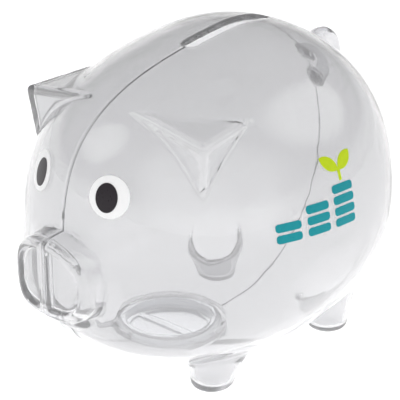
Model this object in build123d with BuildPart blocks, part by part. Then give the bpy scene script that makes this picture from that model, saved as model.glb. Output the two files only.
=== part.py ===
from build123d import *

import os
from math import cos, radians, sin, tan

# Clear plastic piggy bank: two hollow half shells that meet on the plane X = 0, a round stopper in
# the belly, and the printed eyes and flank decoration.
# Frame: millimetres, +Z up, the pig stands on Z = 0 and faces -Y, its left side is +X.
# The origin is at the middle of the bank's footprint.

# Body: each cross-section is four quarter curves, fuller than an ellipse's (fullness 0.552).
WALL = 1.8
BODY_HALF_WIDTH = 54.0
BODY_ABOVE_AXIS = 54.5
BODY_BELOW_AXIS = 43.7
FRONT_LENGTH = 65.6
REAR_LENGTH = 49.9
WIDEST_Y = 9.2
AXIS_Z = 47.6
AXIS_TILT = 7.2
HEAD_DROP = 6.7
SECTION_FULLNESS = 0.61
REAR_POWER = 2.3
FRONT_PLAN_POWER = 2.1
FOREHEAD_POWER = 4.5
CHIN_POWER = 1.84
FRONT_ANGLES = (86, 82, 77, 71, 64, 56, 47, 37, 26, 13, 0)
REAR_ANGLES = (14, 27, 39, 50, 60, 69, 77, 83, 88)

# Ears: three-sided pyramids, given by the tip and the three corners on the body.
EAR_TIP = (38.0, -36.6, 85.9)
EAR_CORNERS = ((11.5, -36.5, 88.9), (34.5, -13.4, 86.5), (35.4, -34.6, 69.5))
EAR_ROOT_STRETCH = 1.22
EAR_HOLLOW_SHIFT = 3.8
EAR_EDGE_RADIUS = 0.7
EAR_BLEND_RADIUS = 1.5

# Legs: hollow cones that widen into the belly and lean towards the middle of the pig.
# Each is given by the foot's Y, how far the root leans along Y, its height and its taper.
LEG_X = 25.0
FRONT_LEG = (-19.6, 5.4, 24.0, 15.5)
REAR_LEG = (35.0, -2.2, 36.0, 12.0)
LEG_FOOT_RADIUS = 6.4
FOOT_EDGE_RADIUS = 1.6
LEG_BLEND_RADIUS = 3.5

# Snout: an arched disc with a bowed face, a raised rim and two nostril recesses.
SNOUT_HALF_WIDTH = 15.2
SNOUT_Z = 43.0
SNOUT_ABOVE = 12.2
SNOUT_BELOW = 12.0
SNOUT_TOP_POWER = 2.0
SNOUT_BOTTOM_POWER = 3.6
SNOUT_FRONT_Y = -64.3
SNOUT_ROOT_Y = -45.0
SNOUT_FLARE = 3.0
SNOUT_FACE_RADIUS = 42.0
NOSTRIL_RIM = 2.8
NOSTRIL_BRIDGE = 4.4
NOSTRIL_DEPTH = 1.6

# Lower lip under the snout.
LIP_CENTRE = (0.0, -53.4, 29.5)
LIP_HALF_SIZE = (11.0, 5.6, 5.0)

# Tail: a curled loop that stands on the seam.
TAIL_CENTRE = (0.0, 56.6, 82.2)
TAIL_LOOP_RADIUS = 6.6
TAIL_TUBE_RADIUS = 2.8

# Coin slot in the back.
SLOT_START_Y = -5.0
SLOT_END_Y = 30.0
SLOT_WIDTH = 4.6

# Stopper and the collar that holds it.
STOPPER_Y = -13.0
COLLAR_TOP_Z = 11.8
COLLAR_RADIUS = 18.4
MOUTH_RADIUS = 16.8
BORE_RADIUS = 15.2
LEDGE_Z = 8.6
STOPPER_BOTTOM_Z = 6.6
STOPPER_GAP = 0.15
SKIRT_GAP = 0.1
SKIRT_WALL = 1.4
STOPPER_EDGE_RADIUS = 0.4
GRIP_WIDTH = 3.0
GRIP_RECESS_RADIUS = 12.5
GRIP_RECESS_DEPTH = 1.2

# Seam: a tongue on the left shell lies in a rebate inside the right shell.
TONGUE_THICKNESS = 0.85
REBATE_THICKNESS = 0.9
TONGUE_LENGTH = 1.5
REBATE_LENGTH = 1.6

# Printed ink layers.
INK = 0.12
EYE_CENTRE = (14.6, -50.7, 69.2)
EYE_NORMAL = (0.46, -0.80, 0.38)
EYE_RADIUS = 6.2
PUPIL_CENTRE = (13.9, -51.1, 68.9)
PUPIL_HALF_WIDTH = 3.4
PUPIL_HALF_HEIGHT = 4.3
PRINT_Y = -3.0
PRINT_Z = 63.5
PRINT_TILT = 8.0
COIN_WIDTH = 8.4
COIN_THICKNESS = 2.5
COIN_GAP = 0.8
STACK_PITCH = 10.6
STACK_COINS = (2, 3, 4)
LEAF_LENGTH = 7.4
LEAF_RADIUS = 4.6
STEM_HEIGHT = 3.6
STEM_WIDTH = 1.1
PRINT_REACH = 15.0
STACK_BASE = -9.0
COIN_CORNER_RADIUS = 1.0
LEAF_TURNS = (35, 145)

# Working lengths: longer than any part of the bank, past its skin, and a touch between surfaces.
FAR = 200.0
PAST_SKIN = 10.0
JUNCTION_REACH = 0.02


def fall(t, power):
    """Height of a superellipse of the given power at t, from 1 at its middle to 0 at its end."""
    return (1 - t**power) ** (1 / power)


def superellipse(half_width, half_height, power, start, end, points):
    """Points of a superellipse's arc from the start angle to the end angle, in degrees."""
    outline = []
    for i in range(points):
        angle = radians(start + (end - start) * i / (points - 1))
        across = cos(angle)
        up = sin(angle)
        x = half_width * abs(across) ** (2 / power) * (1 if across > 0 else -1)
        z = half_height * abs(up) ** (2 / power) * (1 if up > 0 else -1)
        outline.append((x, z))
    return outline


def quarter_curve(across, up):
    """Quarter of a cross-section, from its widest point to its highest or lowest one."""
    lean = SECTION_FULLNESS
    Bezier((across, 0), (across, lean * up), (lean * across, up), (0, up))


def body_station(angle, front, inset):
    """Y, axis height, half width, height above and height below the axis at one station."""
    t = sin(radians(angle))
    if front:
        y = WIDEST_Y - (FRONT_LENGTH - inset) * t
        plan, top, bottom = FRONT_PLAN_POWER, FOREHEAD_POWER, CHIN_POWER
        drop = HEAD_DROP * t**2
    else:
        y = WIDEST_Y + (REAR_LENGTH - inset) * t
        plan, top, bottom = REAR_POWER, REAR_POWER, REAR_POWER
        drop = 0
    axis_z = AXIS_Z + tan(radians(AXIS_TILT)) * (y - WIDEST_Y) - drop
    return (
        y,
        axis_z,
        (BODY_HALF_WIDTH - inset) * fall(t, plan),
        (BODY_ABOVE_AXIS - inset) * fall(t, top),
        (BODY_BELOW_AXIS - inset) * fall(t, bottom),
    )


def body_form(inset):
    """The body as a solid, with its surface the given distance inside the outer one."""
    stations = [body_station(angle, True, inset) for angle in FRONT_ANGLES]
    stations += [body_station(angle, False, inset) for angle in REAR_ANGLES]
    with BuildPart() as form:
        for y, axis_z, half_width, above, below in stations:
            with BuildSketch(Plane((0, y, axis_z), x_dir=(1, 0, 0), z_dir=(0, -1, 0))):
                with BuildLine():
                    quarter_curve(half_width, above)
                    quarter_curve(-half_width, above)
                    quarter_curve(-half_width, -below)
                    quarter_curve(half_width, -below)
                make_face()
        loft()
    return form.part


def snout_outline(y, margin):
    """Sketch of the snout's arched outline across Y, grown by the margin."""
    half_width = SNOUT_HALF_WIDTH + margin
    above = superellipse(half_width, SNOUT_ABOVE + margin, SNOUT_TOP_POWER, 0, 180, 9)
    below = superellipse(half_width, SNOUT_BELOW + margin, SNOUT_BOTTOM_POWER, 180, 360, 13)
    above[-1] = below[0] = (-half_width, 0)
    above[0] = below[-1] = (half_width, 0)
    with BuildSketch(Plane((0, y, SNOUT_Z), x_dir=(1, 0, 0), z_dir=(0, -1, 0))) as sketch:
        with BuildLine():
            Spline(*above, tangents=[(0, 1), (0, -1)])
            Spline(*below, tangents=[(0, -1), (0, 1)])
        make_face()
    return sketch.sketch


def ear_pyramid(shift):
    """Ear pyramid on the left side, its tip moved towards its root by the shift."""
    tip = Vector(*EAR_TIP)
    corners = [tip + (Vector(*corner) - tip) * EAR_ROOT_STRETCH for corner in EAR_CORNERS]
    middle = (corners[0] + corners[1] + corners[2]) * (1 / 3)
    move = (middle - tip).normalized() * shift
    root = Face(Wire.make_polygon([corner + move for corner in corners], close=True))
    with BuildPart() as ear:
        loft(sections=[root, Vertex(*(tip + move))])
        if shift == 0:
            ridges = ear.edges().filter_by(lambda edge: edge.distance_to(tip) < EAR_EDGE_RADIUS)
            fillet(ridges, EAR_EDGE_RADIUS)
    return ear.part


def leg(placement, inset):
    """Leg on the left side, hollowed by the inset."""
    foot_y, lean, height, taper = placement
    root_radius = LEG_FOOT_RADIUS + height * tan(radians(taper))
    with BuildPart() as cone:
        with BuildSketch(Plane((LEG_X, foot_y, inset))):
            Circle(LEG_FOOT_RADIUS - inset)
        with BuildSketch(Plane((LEG_X, foot_y + lean, height))):
            Circle(root_radius - inset)
        loft()
        if inset == 0:
            fillet(cone.faces().sort_by(Axis.Z)[0].edges(), FOOT_EDGE_RADIUS)
    return cone.part


def snout_form(margin, face_setback):
    """Snout as a solid that flares into the face, with a bowed front."""
    face_y = SNOUT_FRONT_Y + face_setback
    with BuildPart() as form:
        loft(
            sections=[
                snout_outline(SNOUT_FRONT_Y - WALL, margin).faces()[0],
                snout_outline(SNOUT_ROOT_Y, margin + SNOUT_FLARE).faces()[0],
            ],
            ruled=True,
        )
        with Locations((0, face_y + SNOUT_FACE_RADIUS, SNOUT_Z)):
            Cylinder(SNOUT_FACE_RADIUS, FAR, mode=Mode.INTERSECT)
    return form.part


def skin_print(outline, direction, inner_solid, outer_solid):
    """Ink layer: the outline driven along the direction, kept between the two solids."""
    with BuildPart() as ink:
        extrude(outline, amount=PRINT_REACH, dir=direction, both=True)
        add(outer_solid, mode=Mode.INTERSECT)
        add(inner_solid, mode=Mode.SUBTRACT)
    return ink.part


def with_limbs(body, ear, inset):
    """The body with its ears and legs joined on, and the junctions rounded."""
    skin = Shell(body.faces())
    limbs = [ear, leg(FRONT_LEG, inset), leg(REAR_LEG, inset)]

    def is_junction(edge):
        on_skin = all(skin.distance_to(edge @ u) < JUNCTION_REACH for u in (0.1, 0.3, 0.5, 0.7, 0.9))
        return on_skin and edge.length > 1 and abs(edge.center().X) > SLOT_WIDTH

    with BuildPart() as form:
        add(body)
        for limb in limbs:
            add(limb)
            add(mirror(limb, about=Plane.YZ, mode=Mode.PRIVATE))
        junctions = form.edges().filter_by(is_junction)
        fillet(junctions.filter_by(lambda edge: edge.center().Z < AXIS_Z), LEG_BLEND_RADIUS)
        junctions = form.edges().filter_by(is_junction)
        fillet(junctions.filter_by(lambda edge: edge.center().Z > AXIS_Z), EAR_BLEND_RADIUS)
    return form.part


outside = body_form(0)
inside = body_form(WALL)
snout_inside = snout_form(-WALL, NOSTRIL_DEPTH + WALL)

# Lower lip, a flattened ball.
with BuildPart() as lip:
    Sphere(1)
    scale(by=LIP_HALF_SIZE)
lip.part.position = LIP_CENTRE

# The whole outer form of the pig, solid.
with BuildPart() as pig:
    add(with_limbs(outside, ear_pyramid(0), 0))
    add(snout_form(0, 0))
    add(lip.part)
    with Locations(TAIL_CENTRE):
        Torus(TAIL_LOOP_RADIUS, TAIL_TUBE_RADIUS, rotation=(0, 90, 0))

# Everything that is hollow inside it.
with BuildPart() as hollow:
    add(with_limbs(inside, ear_pyramid(EAR_HOLLOW_SHIFT), WALL))
    add(snout_inside)

# Nostril recesses: the snout's outline less its rim and the bridge on the seam.
with BuildPart() as nostrils:
    add(snout_form(-NOSTRIL_RIM, 0))
    with Locations((0, SNOUT_FRONT_Y + NOSTRIL_DEPTH + SNOUT_FACE_RADIUS, SNOUT_Z)):
        Cylinder(SNOUT_FACE_RADIUS, FAR, mode=Mode.SUBTRACT)
    with Locations((0, SNOUT_FRONT_Y, SNOUT_Z)):
        Box(NOSTRIL_BRIDGE, FAR, FAR, mode=Mode.SUBTRACT)

# Collar for the stopper, a wall that stands up inside from the belly.
with BuildPart() as collar:
    with Locations((0, STOPPER_Y, 0)):
        Cylinder(COLLAR_RADIUS, COLLAR_TOP_Z, align=(Align.CENTER, Align.CENTER, Align.MIN))
    add(outside, mode=Mode.INTERSECT)

# The stepped hole through the collar: a wide mouth below the ledge and a narrower bore above it.
with BuildPart() as belly_hole:
    with Locations((0, STOPPER_Y, 0)):
        Cylinder(MOUTH_RADIUS, LEDGE_Z, align=(Align.CENTER, Align.CENTER, Align.MIN))
        Cylinder(BORE_RADIUS, COLLAR_TOP_Z + PAST_SKIN, align=(Align.CENTER, Align.CENTER, Align.MIN))

# The slot that coins drop through, with rounded ends.
with BuildPart() as coin_slot:
    with BuildSketch(Plane.XY.offset(AXIS_Z)):
        with Locations((0, (SLOT_START_Y + SLOT_END_Y) / 2)):
            SlotOverall(SLOT_END_Y - SLOT_START_Y, SLOT_WIDTH, rotation=90)
    extrude(amount=BODY_ABOVE_AXIS + PAST_SKIN)

# The whole hollow shell, before it is parted along the seam.
with BuildPart() as shell:
    add(pig.part)
    add(hollow.part, mode=Mode.SUBTRACT)
    add(nostrils.part, mode=Mode.SUBTRACT)
    add(collar.part)
    add(belly_hole.part, mode=Mode.SUBTRACT)
    add(coin_slot.part, mode=Mode.SUBTRACT)


def seam_band(depth, length):
    """The inner part of the body's wall next to the seam, from the given depth and to -X."""
    with BuildPart() as band:
        add(body_form(depth))
        add(inside, mode=Mode.SUBTRACT)
        with Locations((-length / 2, WIDEST_Y, AXIS_Z)):
            Box(length, FAR, FAR, mode=Mode.INTERSECT)
        add(snout_inside, mode=Mode.SUBTRACT)
        add(belly_hole.part, mode=Mode.SUBTRACT)
        add(coin_slot.part, mode=Mode.SUBTRACT)
    return band.part


with BuildPart() as half:
    add(shell.part)
    split(bisect_by=Plane.YZ)

with BuildPart() as left_shell:
    add(half.part)
    add(seam_band(WALL - TONGUE_THICKNESS, TONGUE_LENGTH))
left_shell.part.label = "left_shell"

with BuildPart() as right_shell:
    mirror(half.part, about=Plane.YZ)
    add(seam_band(WALL - REBATE_THICKNESS, REBATE_LENGTH), mode=Mode.SUBTRACT)
right_shell.part.label = "right_shell"

# Push-in stopper: a flange below the ledge, a thin skirt in the bore and a grip bar across its face.
flange_radius = MOUTH_RADIUS - STOPPER_GAP
skirt_radius = BORE_RADIUS - SKIRT_GAP
flange_thickness = LEDGE_Z - STOPPER_BOTTOM_Z - STOPPER_GAP
stopper_height = COLLAR_TOP_Z - STOPPER_BOTTOM_Z
stopper_base = Plane((0, STOPPER_Y, STOPPER_BOTTOM_Z))
with BuildPart() as belly_stopper:
    with BuildSketch(stopper_base):
        Circle(flange_radius)
    extrude(amount=flange_thickness)
    with BuildSketch(stopper_base):
        Circle(skirt_radius)
        Circle(skirt_radius - SKIRT_WALL, mode=Mode.SUBTRACT)
    extrude(amount=stopper_height)
    with BuildSketch(stopper_base):
        Circle(GRIP_RECESS_RADIUS)
        Rectangle(2 * GRIP_RECESS_RADIUS, GRIP_WIDTH, mode=Mode.SUBTRACT)
    extrude(amount=GRIP_RECESS_DEPTH, mode=Mode.SUBTRACT)
    rim = belly_stopper.edges().filter_by(GeomType.CIRCLE).group_by(Axis.Z)[0]
    fillet(rim.sort_by(SortBy.RADIUS)[-1:], STOPPER_EDGE_RADIUS)
belly_stopper.part.label = "belly_stopper"

# Eyes: a white disc of ink with a dark pupil printed over it, on each side of the snout.
first_layer = body_form(-INK)
second_layer = body_form(-2 * INK)
eye_plane = Plane(EYE_CENTRE, x_dir=(-EYE_NORMAL[1], EYE_NORMAL[0], 0), z_dir=EYE_NORMAL)
pupil_plane = Plane(PUPIL_CENTRE, x_dir=eye_plane.x_dir, z_dir=EYE_NORMAL)
with BuildSketch(eye_plane) as eye_outline:
    Circle(EYE_RADIUS)
with BuildSketch(pupil_plane) as pupil_outline:
    Ellipse(PUPIL_HALF_WIDTH, PUPIL_HALF_HEIGHT)

with BuildPart() as left_eye_white:
    add(skin_print(eye_outline.sketch, eye_plane.z_dir, outside, first_layer))
left_eye_white.part.label = "left_eye_white"
with BuildPart() as left_eye_pupil:
    add(skin_print(pupil_outline.sketch, eye_plane.z_dir, first_layer, second_layer))
left_eye_pupil.part.label = "left_eye_pupil"
with BuildPart() as right_eye_white:
    mirror(left_eye_white.part, about=Plane.YZ)
right_eye_white.part.label = "right_eye_white"
with BuildPart() as right_eye_pupil:
    mirror(left_eye_pupil.part, about=Plane.YZ)
right_eye_pupil.part.label = "right_eye_pupil"

# Flank decoration: three growing stacks of coins, and a seedling on the tallest one.
flank = Plane((BODY_HALF_WIDTH, PRINT_Y, PRINT_Z), x_dir=(0, 1, 0), z_dir=(1, 0, 0))
flank = flank.rotated((0, 0, PRINT_TILT))
with BuildSketch(flank) as coins_outline:
    for stack, coins in enumerate(STACK_COINS):
        for coin in range(coins):
            across = (stack - 1) * STACK_PITCH
            up = STACK_BASE + COIN_THICKNESS / 2 + coin * (COIN_THICKNESS + COIN_GAP)
            with Locations((across, up)):
                RectangleRounded(COIN_WIDTH, COIN_THICKNESS, COIN_CORNER_RADIUS)
stem_x = STACK_PITCH
stem_z = STACK_BASE + STACK_COINS[-1] * (COIN_THICKNESS + COIN_GAP)
with BuildSketch(flank) as seedling_outline:
    with Locations((stem_x, stem_z + STEM_HEIGHT / 2)):
        Rectangle(STEM_WIDTH, STEM_HEIGHT)
    for turn in LEAF_TURNS:
        leaf_end = (
            stem_x + LEAF_LENGTH * cos(radians(turn)),
            stem_z + STEM_HEIGHT - STEM_WIDTH / 2 + LEAF_LENGTH * sin(radians(turn)),
        )
        leaf_root = (stem_x, stem_z + STEM_HEIGHT - STEM_WIDTH / 2)
        with BuildLine():
            RadiusArc(leaf_root, leaf_end, LEAF_RADIUS)
            RadiusArc(leaf_root, leaf_end, -LEAF_RADIUS)
        make_face()
with BuildPart() as flank_print_coins:
    add(skin_print(coins_outline.sketch, (1, 0, 0), outside, first_layer))
flank_print_coins.part.label = "flank_print_coins"
with BuildPart() as flank_print_seedling:
    add(skin_print(seedling_outline.sketch, (1, 0, 0), outside, first_layer))
flank_print_seedling.part.label = "flank_print_seedling"

os.makedirs("parts", exist_ok=True)
for piece in (
    left_shell,
    right_shell,
    belly_stopper,
    left_eye_white,
    left_eye_pupil,
    right_eye_white,
    right_eye_pupil,
    flank_print_coins,
    flank_print_seedling,
):
    export_step(piece.part, f"parts/{piece.part.label}.step")
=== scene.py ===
"""Clear moulded piggy bank on a pale table, in soft studio light."""

from math import cos, radians, sin, tan

import bpy
import numpy as np
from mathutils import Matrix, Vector


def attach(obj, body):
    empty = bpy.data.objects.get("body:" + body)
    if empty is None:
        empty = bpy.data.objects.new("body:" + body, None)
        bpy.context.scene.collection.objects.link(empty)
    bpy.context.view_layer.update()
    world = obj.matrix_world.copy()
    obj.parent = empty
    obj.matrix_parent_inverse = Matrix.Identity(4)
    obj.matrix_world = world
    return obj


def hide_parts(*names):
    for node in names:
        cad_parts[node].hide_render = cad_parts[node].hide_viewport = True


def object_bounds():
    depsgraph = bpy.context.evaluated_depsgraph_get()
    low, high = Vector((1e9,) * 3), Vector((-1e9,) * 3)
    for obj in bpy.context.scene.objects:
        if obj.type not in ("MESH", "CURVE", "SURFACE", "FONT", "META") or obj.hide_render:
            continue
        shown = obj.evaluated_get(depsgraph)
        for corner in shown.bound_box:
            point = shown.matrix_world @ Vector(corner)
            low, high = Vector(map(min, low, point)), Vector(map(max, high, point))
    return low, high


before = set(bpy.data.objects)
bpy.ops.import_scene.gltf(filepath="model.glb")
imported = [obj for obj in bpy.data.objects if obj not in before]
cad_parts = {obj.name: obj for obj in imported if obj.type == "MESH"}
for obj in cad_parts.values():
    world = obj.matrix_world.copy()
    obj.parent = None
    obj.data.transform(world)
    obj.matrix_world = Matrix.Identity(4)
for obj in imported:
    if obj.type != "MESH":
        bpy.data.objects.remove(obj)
cad_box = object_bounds()

MM = 0.001
SCENE = bpy.context.scene

# Camera: it stands front left of the pig and above it, aimed just behind the middle of the body.
CAMERA_AZIMUTH = 45.1
CAMERA_ELEVATION = 23.7
CAMERA_DISTANCE = 521.8
CAMERA_LENS = 151.9
CAMERA_CENTRE = Vector((0.0, -9.2, 49.6))
CAMERA_AIM = Vector((4.7, -3.8, 50.7))

# Light: the ceiling's radiance, and each panel's azimuth, elevation, spread and radiance.
CEILING_LIGHT = 0.35
LIGHT_PANELS = ((-34, 46, 24, 1.2), (141, 42, 24, 1.1), (62, 22, 50, 0.7))

# Table: a disc, in metres, whose emission is a painted glow, strongest under the pig and weaker
# further out.
TABLE_RADIUS = 6.0
TABLE_SIDES = 96
TABLE_GAP = 0.00002
GLOW_RADII = (0.06, 0.2)
GLOW_STRENGTHS = (0.95, 0.62)

# The moulding's form, in millimetres. First the wall and the body.
WALL = 1.8
LEAST_WALL = 1.3
BODY_HALF_WIDTH = 54.0
BODY_ABOVE_AXIS = 54.5
BODY_BELOW_AXIS = 43.7
FRONT_LENGTH = 65.6
REAR_LENGTH = 49.9
WIDEST_Y = 9.2
AXIS_Z = 47.6
AXIS_TILT = 7.2
HEAD_DROP = 6.7
SECTION_FULLNESS = 0.61
REAR_POWER = 2.3
FRONT_PLAN_POWER = 2.1
FOREHEAD_POWER = 4.5
CHIN_POWER = 1.84
LEAST_FALL = 0.04
SECTION_STEPS = 181

# Left ear: its tip, and the inner, rear and lower corners of its rim.
EAR_TIP = np.array((38.0, -36.6, 85.9))
EAR_CORNERS = np.array(((8.4, -36.8, 90.4), (34.4, -13.0, 87.7), (36.3, -34.7, 69.3)))
EAR_RIDGE_RADIUS = 1.6
EAR_WALL = 1.7
EAR_BLEND = 0.9
EAR_ROOT_DEPTH = 6.0
EAR_RIM_RADIUS = 0.8

# Left legs: the foot's Y, the lean over the height, the height and the half angle of the cone.
LEG_X = 25.0
LEGS = ((-19.6, 5.4, 24.0, 15.5), (35.0, -2.2, 36.0, 12.0))
LEG_FOOT_RADIUS = 6.4
FOOT_EDGE_RADIUS = 2.0
LEG_BLEND = 2.5

# Snout, nostrils, lip and tail.
SNOUT_HALF_WIDTH = 15.2
SNOUT_Z = 43.0
SNOUT_ABOVE = 12.2
SNOUT_BELOW = 12.0
SNOUT_BOTTOM_POWER = 3.6
SNOUT_FRONT_Y = -64.3
SNOUT_ROOT_Y = -45.0
SNOUT_FLARE = 2.0
SNOUT_FACE_RADIUS = 42.0
SNOUT_EDGE_RADIUS = 1.6
SNOUT_BLEND = 4.0
NOSTRIL_RIM = 2.8
NOSTRIL_BRIDGE = 4.4
NOSTRIL_DEPTH = 1.3
NOSTRIL_ROUND = 1.1
LIP_CENTRE = (0.0, -53.4, 29.5)
LIP_HALF_SIZE = (11.0, 5.6, 5.0)
LIP_BLEND = 1.6
TAIL_CENTRE = (0.0, 56.6, 82.2)
TAIL_LOOP_RADIUS = 6.6
TAIL_TUBE_RADIUS = 2.8
TAIL_BLEND = 2.0

# Coin slot, and the stopper's collar with its stepped hole.
SLOT_START_Y = -5.0
SLOT_END_Y = 30.0
SLOT_WIDTH = 4.6
SLOT_EDGE_RADIUS = 0.85
STOPPER_Y = -13.0
COLLAR_TOP_Z = 11.8
COLLAR_RADIUS = 18.4
MOUTH_RADIUS = 16.8
BORE_RADIUS = 15.2
LEDGE_Z = 8.6
BORE_TOP_Z = 21.8
SEAM_GAP = 0.06

# Grid that the skin is traced on, and the pull of each vertex towards the middle of its crossings.
SHELL_PITCH = 0.78
SHELL_LOW = (-0.36, -66.03, -1.03)
SHELL_HIGH = (55.2, 67.2, 104.2)
LEAST_PULL = 0.02
SLOPE_STEP = 0.01
CREASE_ANGLE = 40
SEAM_FLASH_WIDTH = 0.9


def to_linear(code):
    """Linear RGBA of an sRGB hex code such as "#C6C6C8"."""
    values = np.array([int(code[i : i + 2], 16) for i in (1, 3, 5)]) / 255
    linear = np.where(values <= 0.04045, values / 12.92, ((values + 0.055) / 1.055) ** 2.4)
    return (*linear.tolist(), 1.0)


def make_camera():
    """Camera on the sphere round the pig, turned so that its top edge stays level."""
    azimuth, elevation = radians(CAMERA_AZIMUTH), radians(CAMERA_ELEVATION)
    back = Vector((sin(azimuth) * cos(elevation), -cos(azimuth) * cos(elevation), sin(elevation)))
    camera = bpy.data.objects.new("camera", bpy.data.cameras.new("camera"))
    camera.data.lens = CAMERA_LENS
    camera.data.sensor_width = 36.0
    camera.location = (CAMERA_CENTRE + back * CAMERA_DISTANCE) * MM
    gaze = CAMERA_AIM * MM - camera.location
    camera.rotation_euler = gaze.to_track_quat("-Z", "Y").to_euler()
    SCENE.collection.objects.link(camera)
    SCENE.camera = camera


def add_node(tree, kind, settings=None, inputs=None):
    """Adds a node; inputs maps a socket's name or number to a value or to another node's socket."""
    node = tree.nodes.new(kind)
    for name, value in (settings or {}).items():
        setattr(node, name, value)
    for name, value in (inputs or {}).items():
        if isinstance(value, bpy.types.NodeSocket):
            tree.links.new(value, node.inputs[name])
        else:
            node.inputs[name].default_value = value
    return node


def new_material(name):
    """An empty node material and its tree."""
    material = bpy.data.materials.new(name)
    material.use_nodes = True
    material.node_tree.nodes.clear()
    return material, material.node_tree


def clear_polystyrene():
    """General-purpose polystyrene, injection moulded in polished steel: glass clear with an IOR of
    1.59, a light grey tint and a slight haze, slow flow ripples, hairline scuffs from handling and
    a fine raised line of flash along the seam. Shadow rays pass, so the floor stays lit."""
    material, tree = new_material("clear_polystyrene_polished")
    place = add_node(tree, "ShaderNodeTexCoord").outputs["Object"]
    ripple = add_node(
        tree, "ShaderNodeTexNoise", None,
        {"Vector": place, "Scale": 1 / (14 * MM), "Detail": 2.0, "Roughness": 0.45},
    )
    across = add_node(tree, "ShaderNodeSeparateXYZ", None, {0: place}).outputs["X"]
    off_seam = add_node(tree, "ShaderNodeMath", {"operation": "ABSOLUTE"}, {0: across})
    flash = add_node(
        tree, "ShaderNodeMapRange", {"interpolation_type": "SMOOTHERSTEP"},
        {
            "Value": off_seam.outputs[0],
            "From Min": 0.0,
            "From Max": SEAM_FLASH_WIDTH * MM,
            "To Min": 1.0,
            "To Max": 0.0,
        },
    )
    relief = add_node(
        tree, "ShaderNodeBump", None,
        {"Strength": 0.25, "Distance": 0.5 * MM, "Height": ripple.outputs["Fac"]},
    )
    relief = add_node(
        tree, "ShaderNodeBump", None,
        {
            "Strength": 1.0,
            "Distance": 0.13 * MM,
            "Height": flash.outputs["Result"],
            "Normal": relief.outputs["Normal"],
        },
    )
    scuffs = add_node(
        tree, "ShaderNodeTexNoise", None,
        {"Vector": place, "Scale": 1 / (3 * MM), "Detail": 6.0, "Roughness": 0.7},
    )
    haze = add_node(
        tree, "ShaderNodeMapRange", None,
        {
            "Value": scuffs.outputs["Fac"],
            "From Min": 0.45,
            "From Max": 0.75,
            "To Min": 0.0,
            "To Max": 0.05,
        },
    )
    glass = add_node(
        tree, "ShaderNodeBsdfPrincipled", None,
        {
            "Base Color": to_linear("#E4E4E5"),
            "IOR": 1.59,
            "Transmission Weight": 0.86,
            "Roughness": haze.outputs["Result"],
            "Normal": relief.outputs["Normal"],
        },
    )
    lamp_path = add_node(tree, "ShaderNodeBsdfTransparent", None, {"Color": to_linear("#F4F4F6")})
    rays = add_node(tree, "ShaderNodeLightPath")
    surface = add_node(
        tree, "ShaderNodeMixShader", None,
        {0: rays.outputs["Is Shadow Ray"], 1: glass.outputs[0], 2: lamp_path.outputs[0]},
    )
    add_node(tree, "ShaderNodeOutputMaterial", None, {"Surface": surface.outputs[0]})
    return material


def bonded_joint():
    """Solvent-welded faces of the seam in clear polystyrene: the halves have run together, so light
    goes straight through, a little greyer where the solvent etched the plastic in patches."""
    material, tree = new_material("solvent_welded_polystyrene")
    place = add_node(tree, "ShaderNodeTexCoord").outputs["Object"]
    etch = add_node(
        tree, "ShaderNodeTexNoise", None,
        {"Vector": place, "Scale": 1 / (5 * MM), "Detail": 3.0, "Roughness": 0.6},
    )
    tone = add_node(
        tree, "ShaderNodeMix", {"data_type": "RGBA"},
        {0: etch.outputs["Fac"], 6: to_linear("#FFFFFF"), 7: to_linear("#F4F4F7")},
    )
    weld = add_node(
        tree, "ShaderNodeBsdfPrincipled", None,
        {"Base Color": tone.outputs[2], "IOR": 1.0, "Transmission Weight": 1.0, "Roughness": 0.0},
    )
    add_node(tree, "ShaderNodeOutputMaterial", None, {"Surface": weld.outputs[0]})
    return material


def frosted_polyethylene():
    """Soft natural polyethylene of the stopper: milky clear with a matt moulded skin."""
    material, tree = new_material("natural_polyethylene_moulded")
    place = add_node(tree, "ShaderNodeTexCoord").outputs["Object"]
    grain = add_node(
        tree, "ShaderNodeTexNoise", None,
        {"Vector": place, "Scale": 1 / (0.8 * MM), "Detail": 4.0, "Roughness": 0.6},
    )
    relief = add_node(
        tree, "ShaderNodeBump", None,
        {"Strength": 0.2, "Distance": 0.1 * MM, "Height": grain.outputs["Fac"]},
    )
    matt = add_node(
        tree, "ShaderNodeMapRange", None,
        {
            "Value": grain.outputs["Fac"],
            "From Min": 0.3,
            "From Max": 0.7,
            "To Min": 0.12,
            "To Max": 0.26,
        },
    )
    glass = add_node(
        tree, "ShaderNodeBsdfPrincipled", None,
        {
            "Base Color": to_linear("#F2F3F5"),
            "IOR": 1.51,
            "Transmission Weight": 0.95,
            "Roughness": matt.outputs["Result"],
            "Normal": relief.outputs["Normal"],
        },
    )
    lamp_path = add_node(tree, "ShaderNodeBsdfTransparent", None, {"Color": to_linear("#EFEFF1")})
    rays = add_node(tree, "ShaderNodeLightPath")
    surface = add_node(
        tree, "ShaderNodeMixShader", None,
        {0: rays.outputs["Is Shadow Ray"], 1: glass.outputs[0], 2: lamp_path.outputs[0]},
    )
    add_node(tree, "ShaderNodeOutputMaterial", None, {"Surface": surface.outputs[0]})
    return material


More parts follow.
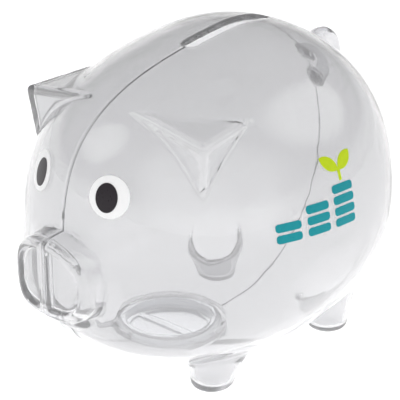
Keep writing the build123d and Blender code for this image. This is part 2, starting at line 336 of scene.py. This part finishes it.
def printed_ink(name, light, dark):
    """Pad-printed gloss ink: its film is a little thicker and darker in places, with a fine
    orange-peel skin where the silicone pad let go."""
    material, tree = new_material(name)
    place = add_node(tree, "ShaderNodeTexCoord").outputs["Object"]
    film = add_node(
        tree, "ShaderNodeTexNoise", None,
        {"Vector": place, "Scale": 1 / (1.6 * MM), "Detail": 5.0, "Roughness": 0.6},
    )
    colour = add_node(
        tree, "ShaderNodeMix", {"data_type": "RGBA"},
        {0: film.outputs["Fac"], 6: to_linear(light), 7: to_linear(dark)},
    )
    peel = add_node(
        tree, "ShaderNodeTexNoise", None,
        {"Vector": place, "Scale": 1 / (0.5 * MM), "Detail": 2.0},
    )
    relief = add_node(
        tree, "ShaderNodeBump", None,
        {"Strength": 0.15, "Distance": 0.05 * MM, "Height": peel.outputs["Fac"]},
    )
    shine = add_node(
        tree, "ShaderNodeMapRange", None,
        {"Value": peel.outputs["Fac"], "To Min": 0.22, "To Max": 0.38},
    )
    ink = add_node(
        tree, "ShaderNodeBsdfPrincipled", None,
        {
            "Base Color": colour.outputs[2],
            "IOR": 1.5,
            "Specular IOR Level": 0.25,
            "Roughness": shine.outputs["Result"],
            "Normal": relief.outputs["Normal"],
        },
    )
    add_node(tree, "ShaderNodeOutputMaterial", None, {"Surface": ink.outputs[0]})
    return material


def paint(names, material):
    """Gives CAD nodes the material."""
    for name in names:
        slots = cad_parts[name].data.materials
        slots.clear()
        slots.append(material)


def rounded_max(a, b, radius):
    """Intersection of two fields with its edge rounded: the length of the parts of both that lie
    past minus the radius, less the radius, or the larger field away from the edge."""
    over = np.hypot(np.maximum(a + radius, 0), np.maximum(b + radius, 0)) - radius
    return np.where((a > -radius) & (b > -radius), over, np.maximum(a, b))


def rounded_min(a, b, radius):
    """Union of two fields with a fillet of the radius in the corner between them."""
    return -rounded_max(-a, -b, radius)


def fall(t, power):
    """Superellipse height, (1 - t^power)^(1/power), kept above a small least value."""
    return np.maximum(1 - np.clip(t, 0, 1) ** power, LEAST_FALL**power) ** (1 / power)


def section_gauge(across, up):
    """How far out a point lies in a cross-section of four cubic quarter curves, 1 on the curve.
    The curve's radius is looked up by the point's angle."""
    s = np.linspace(0, 1, SECTION_STEPS)
    curve_x = (1 - s) ** 3 + 3 * (1 - s) ** 2 * s + 3 * (1 - s) * s**2 * SECTION_FULLNESS
    curve_z = 3 * (1 - s) ** 2 * s * SECTION_FULLNESS + 3 * (1 - s) * s**2 + s**3
    angle = np.arctan2(np.abs(up), np.abs(across))
    radius = np.interp(angle, np.arctan2(curve_z, curve_x), np.hypot(curve_x, curve_z))
    return np.hypot(across, up) / radius


def body_field(x, y, z, inset):
    """Body, by its radial distance in each cross-section. Its axis rises to the rear at the tilt
    and drops towards the snout by t squared; its sizes fall off along Y as superellipses."""
    front_t = (WIDEST_Y - y) / (FRONT_LENGTH - inset)
    rear_t = (y - WIDEST_Y) / (REAR_LENGTH - inset)
    ahead = y < WIDEST_Y
    drop = np.where(ahead, HEAD_DROP * np.clip(front_t, 0, 1) ** 2, 0)
    up = z - (AXIS_Z + tan(radians(AXIS_TILT)) * (y - WIDEST_Y) - drop)
    height = np.where(up > 0, BODY_ABOVE_AXIS, BODY_BELOW_AXIS) - inset
    width = BODY_HALF_WIDTH - inset
    plan = np.where(ahead, fall(front_t, FRONT_PLAN_POWER), 1)
    forehead = np.where(ahead, fall(front_t, FOREHEAD_POWER), 1)
    chin = np.where(ahead, fall(front_t, CHIN_POWER), 1)
    gauge = section_gauge(x / (width * plan), up / (height * np.where(up > 0, forehead, chin)))
    rear = np.where(ahead, 0, np.clip(rear_t, 0, 3))
    gauge = (gauge**REAR_POWER + rear**REAR_POWER) ** (1 / REAR_POWER)
    reach = np.sqrt(x**2 + up**2 + np.where(ahead, 0, y - WIDEST_Y) ** 2)
    inside_ends = front_t - 1
    return np.maximum(reach * (1 - 1 / np.maximum(gauge, 1e-3)), inside_ends * FRONT_LENGTH)


def ear_field(x, y, z, inset):
    """Ear, a three-sided pyramid on a short prism: the intersection of its six side planes, with
    the ridges and the rim rounded."""
    first, second, third = EAR_CORNERS
    root = np.cross(third - first, second - first)
    root *= np.sign(root @ (first - EAR_TIP)) / np.linalg.norm(root)
    offset = np.stack([x, y, z], -1) - EAR_TIP
    field = None
    for one, other in zip(EAR_CORNERS, np.roll(EAR_CORNERS, -1, 0)):
        normal = np.cross(one - EAR_TIP, other - EAR_TIP)
        normal *= -np.sign(normal @ (EAR_CORNERS.mean(0) - EAR_TIP)) / np.linalg.norm(normal)
        side = offset @ normal + inset
        field = side if field is None else rounded_max(field, side, EAR_RIDGE_RADIUS)
    for one, other in zip(EAR_CORNERS, np.roll(EAR_CORNERS, -1, 0)):
        normal = np.cross(other - one, root)
        normal *= np.sign(normal @ (one - EAR_CORNERS.mean(0))) / np.linalg.norm(normal)
        side = (offset + EAR_TIP - one) @ normal + inset
        field = rounded_max(field, side, EAR_RIM_RADIUS)
    depth = (offset + EAR_TIP - first) @ root
    return np.maximum(field, depth - EAR_ROOT_DEPTH - inset)


def leg_field(x, y, z, placement, inset):
    """Leg, a leaning cone that widens upwards, with a flat foot."""
    foot_y, lean, height, taper = placement
    slope = tan(radians(taper))
    centre_y = foot_y + lean * z / height
    cone = (np.hypot(x - LEG_X, y - centre_y) - LEG_FOOT_RADIUS - slope * z) * cos(radians(taper))
    leg = rounded_max(cone + inset, inset - z, FOOT_EDGE_RADIUS)
    return np.maximum(leg, z - height)


def snout_gauge(x, z, margin):
    """Field of the snout's outline: an ellipse above its middle and a squarer curve below."""
    half_width = SNOUT_HALF_WIDTH + margin
    up = z - SNOUT_Z
    above = np.hypot(x / half_width, up / (SNOUT_ABOVE + margin))
    power = SNOUT_BOTTOM_POWER
    below = np.abs(x / half_width) ** power + np.abs(up / (SNOUT_BELOW + margin)) ** power
    gauge = np.maximum(np.where(up > 0, above, below ** (1 / power)), 1e-3)
    return np.hypot(x, up) * (1 - 1 / gauge)


def snout_face(y, x, setback):
    """Distance in front of the snout's bowed face, a cylinder about a vertical axis."""
    return np.hypot(x, y - (SNOUT_FRONT_Y + setback + SNOUT_FACE_RADIUS)) - SNOUT_FACE_RADIUS


def snout_field(x, y, z, margin, setback):
    """Snout, its outline flared towards the root and cut by the bowed face."""
    along = np.clip((y - SNOUT_FRONT_Y) / (SNOUT_ROOT_Y - SNOUT_FRONT_Y), 0, 1)
    side = snout_gauge(x, z, margin) - SNOUT_FLARE * along
    snout = rounded_max(side, snout_face(y, x, setback), SNOUT_EDGE_RADIUS)
    return np.maximum(snout, y - SNOUT_ROOT_Y)


def outer_field(x, y, z):
    """The whole outer skin: body, legs, ear, snout, lip and tail, joined with fillets."""
    skin = body_field(x, y, z, 0)
    for placement in LEGS:
        skin = rounded_min(skin, leg_field(x, y, z, placement, 0), LEG_BLEND)
    skin = rounded_min(skin, ear_field(x, y, z, 0), EAR_BLEND)
    skin = rounded_min(skin, snout_field(x, y, z, 0, 0), SNOUT_BLEND)
    lip_axes = zip((x, y, z), LIP_CENTRE, LIP_HALF_SIZE)
    lip = np.sqrt(sum(((place - middle) / half) ** 2 for place, middle, half in lip_axes))
    skin = rounded_min(skin, (lip - 1) * LIP_HALF_SIZE[2], LIP_BLEND)
    loop = np.hypot(y - TAIL_CENTRE[1], z - TAIL_CENTRE[2]) - TAIL_LOOP_RADIUS
    return rounded_min(skin, np.hypot(loop, x) - TAIL_TUBE_RADIUS, TAIL_BLEND)


def inner_field(x, y, z):
    """The hollow, one wall inside the outer skin."""
    hollow = body_field(x, y, z, WALL)
    for placement in LEGS:
        hollow = rounded_min(hollow, leg_field(x, y, z, placement, WALL), LEG_BLEND + WALL)
    hollow = rounded_min(hollow, ear_field(x, y, z, EAR_WALL), EAR_BLEND)
    snout = snout_field(x, y, z, -WALL, NOSTRIL_DEPTH + WALL)
    return rounded_min(hollow, snout, SNOUT_BLEND)


def half_shell_field(x, y, z):
    """Left half of the moulding: the skin less the hollow, with the stopper's collar, its stepped
    hole, the coin slot and the nostrils, cut flat on the seam. The wall is at least the least
    wall everywhere."""
    outer = outer_field(x, y, z)
    hollow = np.maximum(inner_field(x, y, z), outer + LEAST_WALL)
    wall = np.maximum(outer, -hollow)
    radius = np.hypot(x, y - STOPPER_Y)
    collar = np.maximum(radius - COLLAR_RADIUS, z - COLLAR_TOP_Z)
    wall = np.minimum(wall, np.maximum(collar, outer))
    mouth = np.maximum(radius - MOUTH_RADIUS, z - LEDGE_Z)
    bore = np.maximum(radius - BORE_RADIUS, z - BORE_TOP_Z)
    wall = np.maximum(wall, -np.minimum(mouth, bore))
    end = SLOT_WIDTH / 2
    past = np.abs(y - (SLOT_START_Y + SLOT_END_Y) / 2) - (SLOT_END_Y - SLOT_START_Y) / 2 + end
    slot = np.where(past > 0, np.hypot(np.maximum(past, 0), x), np.abs(x)) - end
    wall = rounded_max(wall, -np.maximum(slot, AXIS_Z - z), SLOT_EDGE_RADIUS)
    recess = np.maximum(snout_gauge(x, z, -NOSTRIL_RIM), NOSTRIL_BRIDGE / 2 - x)
    recess = rounded_max(recess, -snout_face(y, x, NOSTRIL_DEPTH), NOSTRIL_ROUND)
    wall = rounded_max(wall, -np.maximum(recess, y - SNOUT_ROOT_Y), NOSTRIL_ROUND)
    return np.maximum(wall, SEAM_GAP / 2 - x)


def slope_of(field, points):
    """Unit gradient of a field at the points, from central differences."""
    slope = np.empty_like(points)
    for axis in range(3):
        ahead, behind = points.copy(), points.copy()
        ahead[:, axis] += SLOPE_STEP
        behind[:, axis] -= SLOPE_STEP
        slope[:, axis] = field(*ahead.T) - field(*behind.T)
    return slope / np.maximum(np.linalg.norm(slope, axis=1, keepdims=True), 1e-12)


def skin_of_field(field, low, high, pitch):
    """Closed quad mesh of the surface where the field is zero, by dual contouring: every grid edge
    that crosses the surface gives a point and a normal there; every cell that has such edges gets
    one vertex, the point nearest to all their tangent planes; every such edge joins its four cells
    in one quad that faces outwards. Sharp edges stay sharp."""
    low, high = np.array(low, float), np.array(high, float)
    count = np.ceil((high - low) / pitch).astype(int) + 1
    axes = [low[i] + pitch * np.arange(count[i]) for i in range(3)]
    value = np.empty(count)
    for i, x in enumerate(axes[0]):
        y, z = np.meshgrid(axes[1], axes[2], indexing="ij")
        value[i] = field(np.full_like(y, x), y, z)
    strides = np.array([count[1] * count[2], count[2], 1])
    points, normals, owners, quads = [], [], [], []
    for axis in range(3):
        first = np.delete(value, -1, axis)
        second = np.delete(value, 0, axis)
        node = np.stack(np.nonzero((first < 0) != (second < 0)), 1)
        a, b = first[tuple(node.T)], second[tuple(node.T)]
        start = low + node * pitch
        near, far = np.zeros(len(node)), np.ones(len(node))
        for _ in range(3):
            share = near + (far - near) * a / (a - b)
            point = start.copy()
            point[:, axis] += share * pitch
            here = field(*point.T)
            same = (here < 0) == (a < 0)
            near, a = np.where(same, share, near), np.where(same, here, a)
            far, b = np.where(same, far, share), np.where(same, b, here)
        u, v = (axis + 1) % 3, (axis + 2) % 3
        corner = node @ strides
        ring = np.stack(
            [corner - strides[u] - strides[v], corner - strides[v], corner, corner - strides[u]], 1
        )
        inwards = first[tuple(node.T)] > 0
        ring[inwards] = ring[inwards][:, ::-1]
        points.append(point)
        normals.append(slope_of(field, point))
        quads.append(ring)
    points, normals, quads = map(np.concatenate, (points, normals, quads))
    cells, owner = np.unique(quads, return_inverse=True)
    owner = owner.reshape(quads.shape)
    total = np.zeros((len(cells), 3))
    planes = np.zeros((len(cells), 3, 3))
    pull = np.zeros((len(cells), 3))
    outer = normals[:, :, None] * normals[:, None, :]
    level = normals * (normals * points).sum(1, keepdims=True)
    crossings = np.bincount(owner.ravel(), minlength=len(cells))[:, None]
    for side in range(4):
        np.add.at(total, owner[:, side], points)
        np.add.at(planes, owner[:, side], outer)
        np.add.at(pull, owner[:, side], level)
    middle = total / crossings
    planes += LEAST_PULL * np.eye(3)
    rest = pull - np.einsum("nij,nj->ni", planes - LEAST_PULL * np.eye(3), middle)
    vertex = middle + np.linalg.solve(planes, rest[:, :, None])[:, :, 0]
    place = np.stack(np.unravel_index(cells, count), 1) * pitch + low
    vertex = np.clip(vertex, place, place + pitch)
    return vertex, owner


def make_piece(name, vertices, faces, body, node, material):
    """A mesh object from millimetre points, shaded smooth up to the crease angle, that stands for
    the CAD node."""
    mesh = bpy.data.meshes.new(name)
    mesh.from_pydata((np.asarray(vertices) * MM).tolist(), [], np.asarray(faces).tolist())
    mesh.shade_smooth()
    mesh.set_sharp_from_angle(angle=radians(CREASE_ANGLE))
    mesh.materials.append(material)
    piece = bpy.data.objects.new(name, mesh)
    SCENE.collection.objects.link(piece)
    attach(piece, body)
    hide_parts(node)
    return piece


def make_shells(plastic, joint):
    """Both halves of the moulding; the right one is the left one's mirror image. The faces that
    are bonded to each other on the seam have the joint's material."""
    vertices, quads = skin_of_field(half_shell_field, SHELL_LOW, SHELL_HIGH, SHELL_PITCH)
    at_seam = vertices[:, 0] < SHELL_LOW[0] + SHELL_PITCH
    vertices[at_seam, 0] = SEAM_GAP / 2
    bonded = at_seam[quads].all(1)
    halves = (
        ("left_half", "left_shell", vertices, quads),
        ("right_half", "right_shell", vertices * (-1, 1, 1), quads[:, ::-1]),
    )
    for name, node, points, faces in halves:
        piece = make_piece(name, points, faces, "shell", node, plastic)
        piece.data.materials.append(joint)
        piece.data.polygons.foreach_set("material_index", bonded.astype(np.int32))


def make_floor():
    """White seamless table, a wide disc just under the feet, with a painted glow in its emission,
    brightest under the pig, that makes it shine like a light table lit from below.
    """
    turns = np.linspace(0, 2 * np.pi, TABLE_SIDES, endpoint=False)
    rim = np.stack([np.cos(turns), np.sin(turns), np.zeros_like(turns)], 1) * TABLE_RADIUS
    mesh = bpy.data.meshes.new("floor")
    mesh.from_pydata(rim.tolist(), [], [list(range(len(rim)))])
    floor = bpy.data.objects.new("floor", mesh)
    floor.location.z = cad_box[0].z - TABLE_GAP
    SCENE.collection.objects.link(floor)
    material, tree = new_material("white_paper_painted_glow")
    place = add_node(tree, "ShaderNodeTexCoord").outputs["Object"]
    fibre = add_node(tree, "ShaderNodeTexNoise", None, {"Vector": place, "Scale": 1 / (4 * MM)})
    tone = add_node(
        tree, "ShaderNodeMix", {"data_type": "RGBA"},
        {0: fibre.outputs["Fac"], 6: to_linear("#FCFCFC"), 7: to_linear("#FAFAFB")},
    )
    radius = add_node(tree, "ShaderNodeVectorMath", {"operation": "LENGTH"}, {0: place})
    # Painted glow: the table's emission is strongest under the pig and fades outwards, and it
    # lights the floor where the pig's shadow would fall.
    glow = add_node(
        tree, "ShaderNodeMapRange", {"interpolation_type": "SMOOTHSTEP"},
        {
            "Value": radius.outputs["Value"],
            "From Min": GLOW_RADII[0],
            "From Max": GLOW_RADII[1],
            "To Min": GLOW_STRENGTHS[0],
            "To Max": GLOW_STRENGTHS[1],
        },
    )
    paper = add_node(
        tree, "ShaderNodeBsdfPrincipled", None,
        {
            "Base Color": tone.outputs[2],
            "Roughness": 0.8,
            "Specular IOR Level": 0.1,
            "Emission Color": to_linear("#FFFFFF"),
            "Emission Strength": glow.outputs["Result"],
        },
    )
    add_node(tree, "ShaderNodeOutputMaterial", None, {"Surface": paper.outputs[0]})
    mesh.materials.append(material)


def glow_towards(tree, direction, azimuth, elevation, spread, strength):
    """Radiance of a soft-edged light panel: it rises smoothly from nothing at the spread angle
    from its middle to its full strength at a third of it."""
    a, e = radians(azimuth), radians(elevation)
    middle = (sin(a) * cos(e), -cos(a) * cos(e), sin(e))
    nearness = add_node(
        tree, "ShaderNodeVectorMath", {"operation": "DOT_PRODUCT"}, {0: direction, 1: middle}
    )
    panel = add_node(
        tree, "ShaderNodeMapRange", {"interpolation_type": "SMOOTHERSTEP"},
        {
            "Value": nearness.outputs["Value"],
            "From Min": cos(radians(spread)),
            "From Max": cos(radians(spread / 3)),
            "To Min": 0.0,
            "To Max": strength,
        },
    )
    return panel.outputs["Result"]


def make_surroundings():
    """Studio: white walls round the horizon, a dim ceiling and soft-edged light panels."""
    world = bpy.data.worlds.new("studio")
    SCENE.world = world
    world.use_nodes = True
    tree = world.node_tree
    tree.nodes.clear()
    direction = add_node(tree, "ShaderNodeTexCoord").outputs["Generated"]
    height = add_node(tree, "ShaderNodeSeparateXYZ", None, {0: direction}).outputs["Z"]
    total = add_node(
        tree, "ShaderNodeMapRange", {"interpolation_type": "SMOOTHSTEP"},
        {
            "Value": height,
            "From Min": 0.08,
            "From Max": 0.3,
            "To Min": 1.0,
            "To Max": CEILING_LIGHT,
        },
    ).outputs["Result"]
    for panel in LIGHT_PANELS:
        glow = glow_towards(tree, direction, *panel)
        added = add_node(tree, "ShaderNodeMath", {"operation": "ADD"}, {0: total, 1: glow})
        total = added.outputs[0]
    light = add_node(
        tree, "ShaderNodeBackground", None, {"Color": to_linear("#FFFFFF"), "Strength": total}
    )
    add_node(tree, "ShaderNodeOutputWorld", None, {"Surface": light.outputs[0]})


make_camera()
SCENE.view_settings.view_transform = "Standard"
make_floor()
make_surroundings()

make_shells(clear_polystyrene(), bonded_joint())
paint(["belly_stopper"], frosted_polyethylene())
paint(["left_eye_white", "right_eye_white"], printed_ink("white_gloss_ink", "#FBFBFB", "#F1F1F2"))
paint(["left_eye_pupil", "right_eye_pupil"], printed_ink("black_gloss_ink", "#2F2A2F", "#262226"))
paint(["flank_print_coins"], printed_ink("teal_gloss_ink", "#00929C", "#008690"))
paint(["flank_print_seedling"], printed_ink("lime_gloss_ink", "#C6DC1E", "#B7CE17"))
